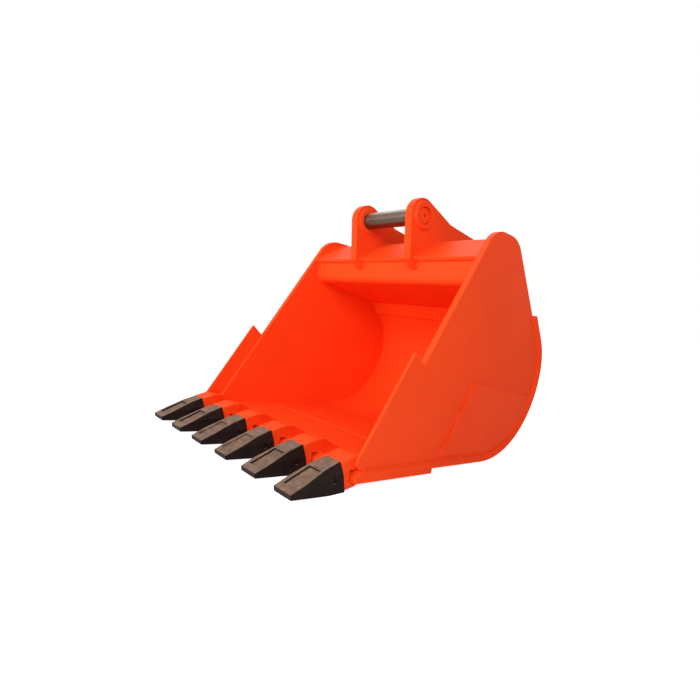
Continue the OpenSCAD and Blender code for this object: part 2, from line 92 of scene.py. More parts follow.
def meet(start: Vector, angle: float, other: Vector, other_angle: float) -> Vector:
    """Finds where two lines cross.

    Args:
        start: A point of the first line.
        angle: Direction of the first line, in degrees.
        other: A point of the second line.
        other_angle: Direction of the second line, in degrees.

    Returns:
        The crossing, as (y, z).
    """
    first, second = unit(angle), unit(other_angle)
    gap = other - start
    share = (gap.x * second.y - gap.y * second.x) / (first.x * second.y - first.y * second.x)
    return start + first * share


def arc(centre: Vector, radius: float, start: float, end: float, pieces: int) -> list[Vector]:
    """Returns the points of an arc from one angle to another, in degrees."""
    return [centre + unit(start + (end - start) * i / pieces) * radius for i in range(pieces + 1)]


@dataclass(frozen=True)
class Lines:
    """Main lines of the bucket in its own side view, with the names of the part's source.

    Lengths are in millimetres and angles in degrees. A point of the side view is (y, z).
    """

    bucket_w: float = 1198.0
    side_taper: float = 2.5
    wrapper_t: float = 20.0
    heel_r: float = 428.0
    crown_r: float = 252.0
    back_lean: float = 36.4
    wrapper_tail_len: float = 123.0
    ledge: float = 12.0
    lip_t: float = 40.0
    lip_len: float = 415.0
    lip_ahead: float = 77.0
    lip_bevel: float = 28.0
    plate_t: float = 28.0
    cutter_t: float = 14.0
    mouth_angle: float = 60.4
    notch_up: float = 424.0
    lobe_r: float = 120.0
    lobe_up: float = 433.0
    crest_len: float = 56.0
    wear_land: float = 22.0
    side_wear_drop: float = 86.0
    side_wear_fall: float = 6.0
    side_wear_back: float = 322.0
    shell_t: float = 16.0
    lobe_inset: float = 10.0
    tube_edge_drop: float = 8.5
    tube_setback: float = 4.0
    tube_overhang: float = 12.0
    tube_face_h: float = 79.0
    tube_face_lean: float = 8.0
    tube_bend_r: float = 36.0
    tube_floor_fall: float = 8.5
    shell_lap: float = 55.0
    rest_tilt: float = 3.83193
    rest_shift: Point = (264.009, -18.9984)
    heel_pieces: int = 40
    crown_pieces: int = 16
    shell_pieces: int = 20
    bend_pieces: int = 10

    @property
    def heel_c(self) -> Vector:
        """Centre of the heel curve."""
        return Vector((0.0, self.lip_t - self.wrapper_t + self.heel_r))

    @property
    def crown_c(self) -> Vector:
        """Centre of the upper back curve."""
        return Vector((self.heel_r - self.crown_r, self.heel_c.y))

    @property
    def inner_heel_r(self) -> float:
        """Inside radius of the heel."""
        return self.heel_r - self.wrapper_t

    @property
    def inner_crown_r(self) -> float:
        """Inside radius of the upper back."""
        return self.crown_r - self.wrapper_t

    @property
    def back_n(self) -> Vector:
        """Outward normal of the straight back."""
        return unit(self.back_lean)

    @property
    def back_run(self) -> float:
        """Direction in which the straight back rises."""
        return self.back_lean + QUARTER

    @property
    def back_off(self) -> float:
        """Offset of the straight back's inner face."""
        return self.crown_c.dot(self.back_n) + self.inner_crown_r

    @property
    def wrapper_top(self) -> Vector:
        """Upper end of the wrapper's inner face."""
        return self.crown_c + self.back_n * self.inner_crown_r + unit(self.back_run) * self.wrapper_tail_len

    @property
    def lobe_z(self) -> float:
        """Height of the centres of the round corners."""
        return self.heel_c.y + self.lobe_up

    @property
    def front_lobe_c(self) -> Vector:
        """Centre of the front round corner."""
        return on_line(self.back_n, self.back_off - self.lobe_r, self.lobe_z) - Vector((self.crest_len, 0.0))

    @property
    def mouth_n(self) -> Vector:
        """Outward normal of the mouth line."""
        return unit(self.mouth_angle + QUARTER)

    @property
    def mouth_off(self) -> float:
        """Offset of the mouth line."""
        return self.front_lobe_c.dot(self.mouth_n) + self.lobe_r

    @property
    def mouth_foot(self) -> Vector:
        """Foot of the mouth line, on top of the lip."""
        return on_line(self.mouth_n, self.mouth_off, self.lip_t)

    @property
    def lip_front(self) -> float:
        """Front edge of the lip."""
        return self.mouth_foot.x - self.lip_ahead

    @property
    def lip_rear(self) -> float:
        """Rear edge of the lip."""
        return self.lip_front + self.lip_len

    @property
    def shell_r(self) -> float:
        """Outside radius of the torque tube's round top."""
        return self.lobe_r - self.lobe_inset

    @property
    def shell_c(self) -> Vector:
        """Centre of the torque tube's round top."""
        return on_line(self.back_n, self.back_off - self.shell_r, self.lobe_z)

    @property
    def shell_edge(self) -> Vector:
        """Front edge of the torque tube's shell, on its outer face."""
        return on_line(self.mouth_n, self.mouth_off - self.tube_setback, self.lobe_z - self.tube_edge_drop)

    @property
    def shell_touch(self) -> Vector:
        """Where the shell's flat top runs into its round."""
        away = self.shell_edge - self.shell_c
        turn = math.degrees(math.atan2(away.y, away.x) - math.acos(self.shell_r / away.length))
        return self.shell_c + unit(turn) * self.shell_r

    @property
    def shell_slope(self) -> float:
        """Direction of the shell's flat top, in degrees."""
        run = self.shell_touch - self.shell_edge
        return math.degrees(math.atan2(run.y, run.x))

    @property
    def face_run(self) -> float:
        """Direction in which the tube's front face runs down."""
        return self.tube_face_lean - QUARTER

    @property
    def face_top(self) -> Vector:
        """Upper end of the tube's front face, under the shell."""
        slope = self.shell_slope
        return self.shell_edge + unit(slope) * self.tube_overhang - unit(slope + QUARTER) * self.shell_t

    @property
    def bend_c(self) -> Vector:
        """Centre of the bend under the tube's front face."""
        face_end = self.face_top + unit(self.face_run) * self.tube_face_h
        return face_end + unit(self.face_run + QUARTER) * self.tube_bend_r

    @property
    def floor_run(self) -> float:
        """Direction of the tube's underside, towards the back."""
        return -self.tube_floor_fall

    def half_w(self, y: float) -> float:
        """Returns the half width to a side plate's outer face at the place y."""
        return self.bucket_w / 2.0 - math.tan(math.radians(self.side_taper)) * (y - self.lip_front)

    def skin(self, start_y: float) -> list[Vector]:
        """Follows the inner face of lip and wrapper from a place on the lip to the wrapper's upper end.

        Args:
            start_y: Where the path starts, on top of the lip.

        Returns:
            The points of the path, as (y, z).
        """
        path = [Vector((start_y, self.lip_t)), Vector((0.0, self.lip_t))]
        path += arc(self.heel_c, self.inner_heel_r, -QUARTER, 0.0, self.heel_pieces)[1:]
        path += arc(self.crown_c, self.inner_crown_r, 0.0, self.back_lean, self.crown_pieces)[1:]
        return path + [self.wrapper_top]

    def tube_front(self) -> list[Vector]:
        """Follows the outer face of the tube's front and underside, from the shell down to the wrapper."""
        floor_out = self.floor_run - QUARTER
        floor_end = meet(self.bend_c + unit(floor_out) * self.tube_bend_r, self.floor_run,
                         self.back_n * self.back_off, self.back_run)
        bend = arc(self.bend_c, self.tube_bend_r, self.face_run - QUARTER, floor_out, self.bend_pieces)
        return [self.face_top] + bend + [floor_end]

    def tube_top(self) -> list[Vector]:
        """Follows the shell's outer face from its front edge to the wrapper's upper end."""
        round_top = arc(self.shell_c, self.shell_r, self.shell_slope + QUARTER, self.back_lean,
                        self.shell_pieces)
        return [self.shell_edge] + round_top + [self.wrapper_top]

    def place(self, x: float, p: Vector) -> Vector:
        """Puts a point of the side view where it is at rest.

        Args:
            x: Place across the bucket, in millimetres.
            p: Point of the side view, as (y, z) in millimetres.

        Returns:
            The point in the row frame, in metres.
        """
        c, s = math.cos(math.radians(self.rest_tilt)), math.sin(math.radians(self.rest_tilt))
        back, up = self.rest_shift
        return Vector((x, p.x * c + p.y * s + back, p.y * c - p.x * s + up)) * MM


LINES = Lines()


class Nodes:
    """Short ways to build shader node trees."""

    def __init__(self, tree: bpy.types.NodeTree) -> None:
        """Starts with an empty tree."""
        self.tree = tree
        tree.nodes.clear()

    def feed(self, socket: bpy.types.NodeSocket, value: object) -> None:
        """Links an output to a socket, or sets a plain value on it."""
        if isinstance(value, bpy.types.NodeSocket):
            self.tree.links.new(value, socket)
        else:
            socket.default_value = value

    def add(self, kind: str, inputs: dict[str, object] | None = None, **settings: object) -> bpy.types.Node:
        """Adds a node.

        Args:
            kind: Node type, without the leading ShaderNode where it has one.
            inputs: Value or output socket for each named input.
            settings: Properties of the node.

        Returns:
            The node.
        """
        node = self.tree.nodes.new(kind if kind.startswith("Node") else "ShaderNode" + kind)
        for name, value in settings.items():
            setattr(node, name, value)
        for name, value in (inputs or {}).items():
            self.feed(node.inputs[int(name)] if name.isdigit() else node.inputs[name], value)
        return node

    def ramp(self, value: bpy.types.NodeSocket, low: float, high: float,
             to_low: float = 0.0, to_high: float = 1.0) -> bpy.types.NodeSocket:
        """Maps a range of a value to another range, and returns the result's socket."""
        node = self.add("MapRange", {"Value": value, "From Min": low, "From Max": high,
                                     "To Min": to_low, "To Max": to_high}, clamp=True)
        return node.outputs["Result"]

    def times(self, first: object, second: object) -> bpy.types.NodeSocket:
        """Multiplies two values, and returns the result's socket."""
        return self.add("Math", {"0": first, "1": second}, operation="MULTIPLY").outputs[0]

    def noise(self, scale: object, **inputs: object) -> bpy.types.NodeSocket:
        """Adds noise on the object's coordinates, and returns its factor's socket."""
        at = self.add("TexCoord").outputs["Object"]
        return self.add("TexNoise", {"Vector": at, "Scale": scale, **inputs}).outputs["Fac"]

    def mix(self, share: bpy.types.NodeSocket, first: object, second: object) -> bpy.types.NodeSocket:
        """Mixes two colours by a mask, through the Mix node's colour sockets, and returns the result's."""
        node = self.add("Mix", data_type="RGBA")
        for index, value in ((0, share), (6, first), (7, second)):
            self.feed(node.inputs[index], value)
        return node.outputs[2]

    def place(self, group: bpy.types.NodeTree, inputs: dict[str, object]) -> bpy.types.Node:
        """Places a node group with its own values, and returns the node."""
        node = self.add("Group", node_tree=group)
        for name, value in inputs.items():
            self.feed(node.inputs[name], value)
        return node

    def end(self, inputs: dict[str, object]) -> None:
        """Adds the material's shader with the given inputs, and its output."""
        shader = self.add("BsdfPrincipled", inputs)
        self.add("OutputMaterial", {"Surface": shader.outputs["BSDF"]})


def new_group(name: str, inputs: dict[str, tuple[str, object]], outputs: dict[str, str]) -> tuple:
    """Starts a shader node group.

    Args:
        name: Name of the group.
        inputs: Socket type and default for each input.
        outputs: Socket type for each output.

    Returns:
        The group, its node builder, its input node and its output node.
    """
    group = bpy.data.node_groups.new(name, "ShaderNodeTree")
    for label, (kind, default) in inputs.items():
        group.interface.new_socket(label, in_out="INPUT", socket_type=kind).default_value = default
    for label, kind in outputs.items():
        group.interface.new_socket(label, in_out="OUTPUT", socket_type=kind)
    build = Nodes(group)
    return group, build, build.add("NodeGroupInput"), build.add("NodeGroupOutput")


@dataclass
class Effects:
    """Surface effects that several finishes share, each a node group that is built once."""

    drift_detail: float = 5.0
    drift_roughness: float = 0.62
    drift_range: Range = (0.35, 0.68)
    fine_detail: float = 3.0
    wide_detail: float = 2.0
    lying_range: Range = (0.5, 0.95)
    dust_and_light_detail: float = 6.0
    dust_and_light_roughness: float = 0.7
    patch_range: Range = (0.3, 0.7)
    patch_least: float = 0.35

    def __post_init__(self) -> None:
        """Builds the groups."""
        self.drift = self.colour_drift()
        self.grain = self.cast_grain()
        self.dust_and_top_light = self.dust_and_top_light_mask()

    def colour_drift(self) -> bpy.types.NodeTree:
        """Builds slow changes of shade over a surface, from patches a hand wide down to small flecks."""
        group, build, given, out = new_group(
            "colour_drift",
            {"Color": ("NodeSocketColor", WHITE), "Shade": ("NodeSocketColor", BLACK),
             "Scale": ("NodeSocketFloat", 4.0), "Amount": ("NodeSocketFloat", 0.3)},
            {"Color": "NodeSocketColor", "Mask": "NodeSocketFloat"})
        noise = build.noise(given.outputs["Scale"], Detail=self.drift_detail, Roughness=self.drift_roughness)
        mask = build.ramp(noise, *self.drift_range)
        share = build.times(mask, given.outputs["Amount"])
        color = build.mix(share, given.outputs["Color"], given.outputs["Shade"])
        build.feed(out.inputs["Color"], color)
        build.feed(out.inputs["Mask"], mask)
        return group

    def cast_grain(self) -> bpy.types.NodeTree:
        """Builds the height of a grainy skin: fine grain with some wider dimples."""
        group, build, given, out = new_group(
            "cast_grain",
            {"Fine Scale": ("NodeSocketFloat", 600.0), "Wide Scale": ("NodeSocketFloat", 60.0),
             "Wide Share": ("NodeSocketFloat", 0.5)},
            {"Height": "NodeSocketFloat"})
        fine = build.noise(given.outputs["Fine Scale"], Detail=self.fine_detail)
        wide = build.noise(given.outputs["Wide Scale"], Detail=self.wide_detail)
        both = build.add("Mix", {"0": given.outputs["Wide Share"], "2": fine, "3": wide}, data_type="FLOAT")
        build.feed(out.inputs["Height"], both.outputs[0])
        return group

    def dust_and_top_light_mask(self) -> bpy.types.NodeTree:
        """Builds a mask of faces that look up, broken up by noise: for dusty tops, and for painted light on
        the tops with painted shade below them.
        """
        group, build, given, out = new_group(
            "dust_and_top_light_mask",
            {"Scale": ("NodeSocketFloat", 25.0), "Amount": ("NodeSocketFloat", 0.5)},
            {"Mask": "NodeSocketFloat"})
        up = build.add("SeparateXYZ", {"Vector": build.add("NewGeometry").outputs["Normal"]}).outputs["Z"]
        lying = build.ramp(up, *self.lying_range)
        noise = build.noise(given.outputs["Scale"], Detail=self.dust_and_light_detail, Roughness=self.dust_and_light_roughness)
        patchy = build.ramp(noise, *self.patch_range, self.patch_least)
        mask = build.times(build.times(lying, patchy), given.outputs["Amount"])
        build.feed(out.inputs["Mask"], mask)
        return group


def new_material(name: str) -> tuple[bpy.types.Material, Nodes]:
    """Starts a material with an empty node tree, and returns both."""
    material = bpy.data.materials.new(name)
    material.use_nodes = True
    return material, Nodes(material.node_tree)


@dataclass(frozen=True)
class Enamel:
    """Sprayed red-orange enamel, satin, with a faint orange peel."""

    name: str = "red_orange_enamel"
    color: Colour = (0.93, 0.067, 0.009, 1.0)
    shade: Colour = (0.78, 0.048, 0.007, 1.0)
    drift: float = 0.35
    drift_scale: float = 3.0
    roughness: float = 0.46
    specular: float = 0.07
    rough_spread: float = 0.08
    coat: float = 0.015
    coat_roughness: float = 0.16
    peel_scale: float = 260.0
    wave_scale: float = 14.0
    wave_share: float = 0.4
    peel_depth: float = 0.0006
    peel_strength: float = 0.25

    def build(self, effects: Effects) -> bpy.types.Material:
        """Builds the material.

        Args:
            effects: The shared node groups.

        Returns:
            The material.
        """
        material, build = new_material(self.name)
        drift = build.place(effects.drift, {"Color": self.color, "Shade": self.shade,
                                            "Scale": self.drift_scale, "Amount": self.drift})
        grain = build.place(effects.grain, {"Fine Scale": self.peel_scale, "Wide Scale": self.wave_scale,
                                            "Wide Share": self.wave_share})
        bump = build.add("Bump", {"Height": grain.outputs["Height"], "Strength": self.peel_strength,
                                  "Distance": self.peel_depth})
        rough = build.ramp(drift.outputs["Mask"], 0.0, 1.0, self.roughness - self.rough_spread / 2,
                           self.roughness + self.rough_spread / 2)
        build.end({"Base Color": drift.outputs["Color"], "Roughness": rough,
                   "Specular IOR Level": self.specular, "Coat Weight": self.coat,
                   "Coat Roughness": self.coat_roughness, "Normal": bump.outputs["Normal"]})
        return material


@dataclass(frozen=True)
class CastTooth:
    """Dark cast alloy under a thin brown coat, grainy, tan where it faces up: dusty, with a painted sheen of
    the light on the tops.
    """

    name: str = "dark_cast_alloy"
    color: Colour = (0.008, 0.004, 0.003, 1.0)
    shade: Colour = (0.020, 0.011, 0.008, 1.0)
    drift: float = 0.7
    drift_scale: float = 22.0
    # Tan of the tops: dusty, and partly a painted sheen where the light falls on them.
    dust_and_sheen_color: Colour = (0.42, 0.26, 0.18, 1.0)
    dust_and_sheen_amount: float = 0.60
    dust_and_sheen_scale: float = 38.0
    roughness: float = 0.44
    dust_roughening: float = 0.25
    specular: float = 0.10
    grain_scale: float = 420.0
    dimple_scale: float = 75.0
    dimple_share: float = 0.55
    grain_depth: float = 0.0016
    grain_strength: float = 0.55

    def build(self, effects: Effects) -> bpy.types.Material:
        """Builds the material.

        Args:
            effects: The shared node groups.

        Returns:
            The material.
        """
        material, build = new_material(self.name)
        drift = build.place(effects.drift, {"Color": self.color, "Shade": self.shade,
                                            "Scale": self.drift_scale, "Amount": self.drift})
        dust_and_top_light = build.place(effects.dust_and_top_light, {"Scale": self.dust_and_sheen_scale, "Amount": self.dust_and_sheen_amount})
        grain = build.place(effects.grain, {"Fine Scale": self.grain_scale, "Wide Scale": self.dimple_scale,
                                            "Wide Share": self.dimple_share})
        bump = build.add("Bump", {"Height": grain.outputs["Height"], "Strength": self.grain_strength,
                                  "Distance": self.grain_depth})
        # Tan on the faces that look up: dusty, and partly a painted sheen of the light on the tops.
        color = build.mix(dust_and_top_light.outputs["Mask"], drift.outputs["Color"], self.dust_and_sheen_color)
        rough = build.ramp(dust_and_top_light.outputs["Mask"], 0.0, 1.0, self.roughness,
                           self.roughness + self.dust_roughening)
        build.end({"Base Color": color, "Roughness": rough, "Specular IOR Level": self.specular,
                   "Normal": bump.outputs["Normal"]})
        return material


@dataclass(frozen=True)
class TurnedSteel:
    """Bare steel with fine turning marks round the pin's axis, and painted shade where it doesn't face up."""

    name: str = "turned_steel"
    color: Colour = (0.62, 0.54, 0.44, 1.0)
    shade: Colour = (0.34, 0.28, 0.22, 1.0)
    drift: float = 0.6
    drift_scale: float = 18.0
    # Painted shade: the colour of the steel's underside, where it doesn't face up.
    underside_shade_color: Colour = (0.17, 0.125, 0.095, 1.0)
    underside_shade_scale: float = 30.0
    roughness: float = 0.24
    rough_spread: float = 0.15
    groove_scale: float = 240.0
    groove_waver: float = 0.6
    groove_detail: float = 1.0
    groove_depth: float = 0.0004
    groove_strength: float = 0.2

    def build(self, effects: Effects) -> bpy.types.Material:
        """Builds the material.

        Args:
            effects: The shared node groups.

        Returns:
            The material.
        """
        material, build = new_material(self.name)
        at = build.add("TexCoord").outputs["Object"]
        grooves = build.add("TexWave", {"Vector": at, "Scale": self.groove_scale,
                                        "Distortion": self.groove_waver, "Detail": self.groove_detail},
                            wave_type="BANDS", bands_direction="X")
        bump = build.add("Bump", {"Height": grooves.outputs["Fac"], "Strength": self.groove_strength,
                                  "Distance": self.groove_depth})
        drift = build.place(effects.drift, {"Color": self.color, "Shade": self.shade,
                                            "Scale": self.drift_scale, "Amount": self.drift})
        # Mask of faces that look up, where the steel keeps its lit colour; elsewhere the colour darkens to
        # painted shade.
        bare = build.place(effects.dust_and_top_light, {"Scale": self.underside_shade_scale, "Amount": 1.0})
        color = build.mix(bare.outputs["Mask"], self.underside_shade_color, drift.outputs["Color"])
        rough = build.ramp(drift.outputs["Mask"], 0.0, 1.0, self.roughness,
                           self.roughness + self.rough_spread)
        build.end({"Base Color": color, "Roughness": rough, "Metallic": 1.0,
                   "Normal": bump.outputs["Normal"]})
        return material


@dataclass
class Finishes:
    """The finishes of this bucket, built once."""

    effects: Effects = field(default_factory=Effects)

    def __post_init__(self) -> None:
        """Builds one material per finish."""
        self.paint = Enamel().build(self.effects)
        self.weld = Enamel(name="enamelled_weld", peel_scale=420.0, wave_scale=110.0,
                           wave_share=0.6, peel_depth=0.002, peel_strength=0.5,
                           roughness=0.48).build(self.effects)
        self.cast_paint = Enamel(name="enamelled_casting", peel_scale=330.0, wave_scale=90.0,
                                 wave_share=0.6, peel_depth=0.0016, peel_strength=0.55,
                                 roughness=0.5).build(self.effects)
        self.tooth = CastTooth().build(self.effects)
        self.steel = TurnedSteel().build(self.effects)
        # Its darker underside colour is painted shade, as on the bare pins.
        self.dark_steel = TurnedSteel(
            name="blackened_steel", color=(0.06, 0.045, 0.035, 1.0), shade=(0.03, 0.022, 0.018, 1.0),
            underside_shade_color=(0.03, 0.02, 0.016, 1.0), roughness=0.45).build(self.effects)


def add_object(name: str, mesh: bpy.types.Mesh) -> bpy.types.Object:
    """Links a new object for a mesh that already has its place in it, and returns it."""
    made = bpy.data.objects.new(name, mesh)
    bpy.context.scene.collection.objects.link(made)
    return made


def finish_piece(piece: bpy.types.Object, material: bpy.types.Material, body: Body) -> None:
    """Gives a piece its material and its body, and reports it.

    Args:
        piece: The piece, with its place in its mesh.
        material: Its material.
        body: The body that it rides on.
    """
    piece.data.materials.clear()
    piece.data.materials.append(material)
    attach(piece, body.value)
    log.info("%s: %d faces, rides on %s", piece.name, len(piece.data.polygons), body.value)


@dataclass(frozen=True)
class EdgeBreak:
    """Ground or cut edges of a plate or casting, as a small bevel.

    Lengths are in millimetres and angles in degrees. An edge is bevelled where its faces meet at more than
    the angle and it is longer than the shortest.
    """

    width: float = 1.6
    segments: int = 2
    angle: float = 28.0
    shortest: float = 0.0
    merge_gap: float = 0.02
    flat_angle: float = 0.4

    def dress(self, node: str, material: bpy.types.Material, body: Body = Body.BUCKET,
              slot: Slot = Slot.PAINT) -> bpy.types.Object:
        """Makes a merged copy of a CAD node with broken edges, which stands for the node.

        Args:
            node: Name of the CAD node.
            material: Material of the piece.
            body: The body that it rides on.
            slot: The record's slot of its finish; not used.

        Returns:
            The piece.
        """
        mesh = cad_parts[node].data.copy()
        bm = bmesh.new()
        bm.from_mesh(mesh)
        bmesh.ops.remove_doubles(bm, verts=bm.verts, dist=self.merge_gap * MM)
        bmesh.ops.dissolve_limit(bm, angle_limit=math.radians(self.flat_angle),
                                 verts=bm.verts, edges=bm.edges)
        weight = bm.edges.layers.float.new("bevel_weight_edge")
        for edge in bm.edges:
            sharp = edge.calc_face_angle(0.0) > math.radians(self.angle)
            edge[weight] = float(sharp and edge.calc_length() > self.shortest * MM)
        bm.to_mesh(mesh)
        bm.free()
        mesh.name = node + "_finished"
        mesh.shade_smooth()
        mesh.set_sharp_from_angle(angle=math.radians(self.angle))
        piece = add_object(node + "_finished", mesh)
        bevel = piece.modifiers.new("edge_break", "BEVEL")
        bevel.width = self.width * MM
        bevel.segments = self.segments
        bevel.limit_method = "WEIGHT"
        bevel.harden_normals = True
        bevel.use_clamp_overlap = True
        finish_piece(piece, material, body)
        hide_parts(node)
        return piece


@dataclass(frozen=True)
class WeldBead:
    """A weld bead laid along paths, with the ripples that the torch leaves.

    Lengths are in millimetres. An open bead's ends are a share of its radius wide, and a ring's two ends are
    joined where they lie within another share of it.
    """

    radius: float = 7.0
    step: float = 7.0
    ripple: float = 0.07
    sides: int = 8
    end_share: float = 0.55
    join_share: float = 0.35

    def stations(self, path: list[Vector]) -> list[Vector]:
        """Spaces points evenly along a path.

        Args:
            path: Corners of the path, in metres.

        Returns:
            The spaced points, with both ends kept.
        """
        runs = [(b - a).length for a, b in zip(path, path[1:])]
        count = max(2, round(sum(runs) / (self.step * MM)))
        points, index, passed = [], 0, 0.0
        for i in range(count + 1):
            want = sum(runs) * i / count
            while index < len(runs) - 1 and passed + runs[index] < want:
                passed += runs[index]
                index += 1
            share = (want - passed) / runs[index] if runs[index] else 0.0
            points.append(path[index].lerp(path[index + 1], min(1.0, share)))
        return points

    def sweep(self, path: list[Vector], closed: bool) -> bpy.types.Mesh:
        """Extrudes a ring along a path, and closes its ends or joins them.

        Args:
            path: Corners of the path, in metres.
            closed: Whether the path's last point is its first.

        Returns:
            The bead's mesh.
        """
        points = self.stations(path)
        last = len(points) - 1
        along = [(points[min(i + 1, last)] - points[max(i - 1, 0)]).normalized() for i in range(last + 1)]
        if closed:
            along[0] = along[last] = (points[1] - points[last - 1]).normalized()
        bm = bmesh.new()
        turn = Vector((0, 0, 1)).rotation_difference(along[0]).to_matrix().to_4x4()
        end_size = self.radius * MM * (1.0 if closed else self.end_share)
        size = end_size
        bmesh.ops.create_circle(bm, segments=self.sides, radius=size,
                                matrix=Matrix.Translation(points[0]) @ turn)
        ring = list(bm.edges)
        start_ring = list(ring)
        for i in range(1, last + 1):
            grown = bmesh.ops.extrude_edge_only(bm, edges=ring)["geom"]
            verts = [g for g in grown if isinstance(g, bmesh.types.BMVert)]
            edges = [g for g in grown if isinstance(g, bmesh.types.BMEdge)]
            ring = [e for e in edges if all(v in verts for v in e.verts)]
            rippled = self.radius * MM * (1.0 + self.ripple * (1 if i % 2 else -1))
            new_size = end_size if i == last else rippled
            turn = along[i - 1].rotation_difference(along[i]).to_matrix().to_4x4()
            move = (Matrix.Translation(points[i]) @ turn @ Matrix.Scale(new_size / size, 4)
                    @ Matrix.Translation(-points[i - 1]))
            bmesh.ops.transform(bm, matrix=move, verts=verts)
            size = new_size
        if closed:
            bmesh.ops.remove_doubles(bm, verts=list({v for e in start_ring + ring for v in e.verts}),
                                     dist=self.radius * MM * self.join_share)
        else:
            bmesh.ops.holes_fill(bm, edges=start_ring + ring, sides=self.sides)
        bmesh.ops.recalc_face_normals(bm, faces=bm.faces)
        mesh = bpy.data.meshes.new("bead")
        bm.to_mesh(mesh)
        bm.free()
        return mesh

    def lay(self, name: str, paths: list[list[Vector]], material: bpy.types.Material,
            closed: bool = False) -> bpy.types.Object:
        """Lays beads along several paths as one piece.

        Args:
            name: Name of the piece.
            paths: Corners of each path, in metres.
            material: Material of the beads.
            closed: Whether each path's last point is its first.

        Returns:
            The piece.
        """
        bm = bmesh.new()
        for path in paths:
            bead = self.sweep(path, closed)
            bm.from_mesh(bead)
            bpy.data.meshes.remove(bead)
        mesh = bpy.data.meshes.new(name)
        bm.to_mesh(mesh)
        bm.free()
        mesh.shade_smooth()
        piece = add_object(name, mesh)
        finish_piece(piece, material, Body.BUCKET)
        return piece


def both_sides(path: list[tuple[float, Vector]]) -> list[list[Vector]]:
    """Places a path at the right and its mirror image at the left.

    Args:
        path: Points as (place across, point of the side view), in millimetres.

    Returns:
        The two paths, in metres.
    """
    return [[LINES.place(side * x, p) for x, p in path] for side in (1, -1)]


def along_plates(path: list[Vector], depth: float = 0.0) -> list[list[Vector]]:
    """Places a path on both side plates.

    Args:
        path: Points of the side view, in millimetres.
        depth: How far the path lies inside a plate's outer face, in millimetres.

    Returns:
        The two paths, in metres.
    """
    return both_sides([(LINES.half_w(p.x) - depth, p) for p in path])


@dataclass(frozen=True)
class Stitches:
    """Short beads with room between them, one at each end of a path, with lengths in millimetres."""

    length: float = 62.0
    gap: float = 75.0
    step: float = 4.0

    def cut(self, path: list[Vector]) -> list[list[Vector]]:
        """Cuts a path into stitches.

        Args:
            path: Corners of the path, in metres.

        Returns:
            One path per stitch.
        """
        fine = WeldBead(step=self.step).stations(path)
        total = sum((b - a).length for a, b in zip(fine, fine[1:])) / MM
        spots = max(2, round((total + self.gap) / (self.length + self.gap)))
        room = (total - spots * self.length) / (spots - 1)
        per = (len(fine) - 1) / total
        starts = [i * (self.length + room) for i in range(spots)]
        return [fine[round(s * per):round((s + self.length) * per) + 1] for s in starts]


@dataclass
class Sides:
    """Side plates with their let-in cutters and wear plates."""

    finishes: Finishes
    plate: EdgeBreak = EdgeBreak(width=1.8)
    seam: EdgeBreak = EdgeBreak(width=1.4)
    step_bead: WeldBead = WeldBead(radius=4.5, step=6.0)
    stitch_bead: WeldBead = WeldBead(radius=5.0, step=6.0)
    stitches: Stitches = Stitches()
    foot_gap: float = 8.0
    head_gap: float = 6.0
    wear_run: float = 720.0
    wear_tries: int = 400

    def build(self) -> None:
        """Dresses the plates and lays their beads."""
        for side in ("left", "right"):
            self.plate.dress("side_plate_" + side, self.finishes.paint)
            self.seam.dress("side_cutter_" + side, self.finishes.paint)
            self.seam.dress("side_wear_plate_" + side, self.finishes.paint)
        self.weld_cutters()
        self.stitch_wear_plates()

    def weld_cutters(self) -> None:
        """Lays a bead inside, in the step between each cutter and its thicker side plate."""
        up = unit(LINES.mouth_angle)
        run = [LINES.mouth_foot + up * reach for reach in (self.foot_gap, LINES.notch_up - self.head_gap)]
        self.step_bead.lay("cutter_welds", along_plates(run, LINES.cutter_t), self.finishes.weld)

    def stitch_wear_plates(self) -> None:
        """Lays stitch beads round the wear plate on each lower side."""
        front_off = LINES.mouth_off - LINES.side_wear_back
        top_front = on_line(LINES.mouth_n, front_off, LINES.heel_c.y - LINES.side_wear_drop)
        foot = on_line(LINES.mouth_n, front_off, LINES.lip_t + LINES.wear_land)
        land_r = LINES.inner_heel_r - LINES.wear_land
        fall = math.radians(LINES.side_wear_fall)
        back = top_front + Vector((math.cos(fall), -math.sin(fall))) * self.wear_run
        top_edge = [top_front.lerp(back, i / self.wear_tries) for i in range(self.wear_tries + 1)]
        top_back = next(p for p in reversed(top_edge) if (p - LINES.heel_c).length < land_r)
        away = top_back - LINES.heel_c
        end = math.degrees(math.atan2(away.y, away.x))
        heel = arc(LINES.heel_c, land_r, -QUARTER, end, LINES.heel_pieces)
        paths = []
        for edge in ([foot, top_front], [top_front, top_back], [foot] + heel):
            for side in along_plates(edge):
                paths += self.stitches.cut(side)
        self.stitch_bead.lay("side_wear_plate_stitches", paths, self.finishes.weld)


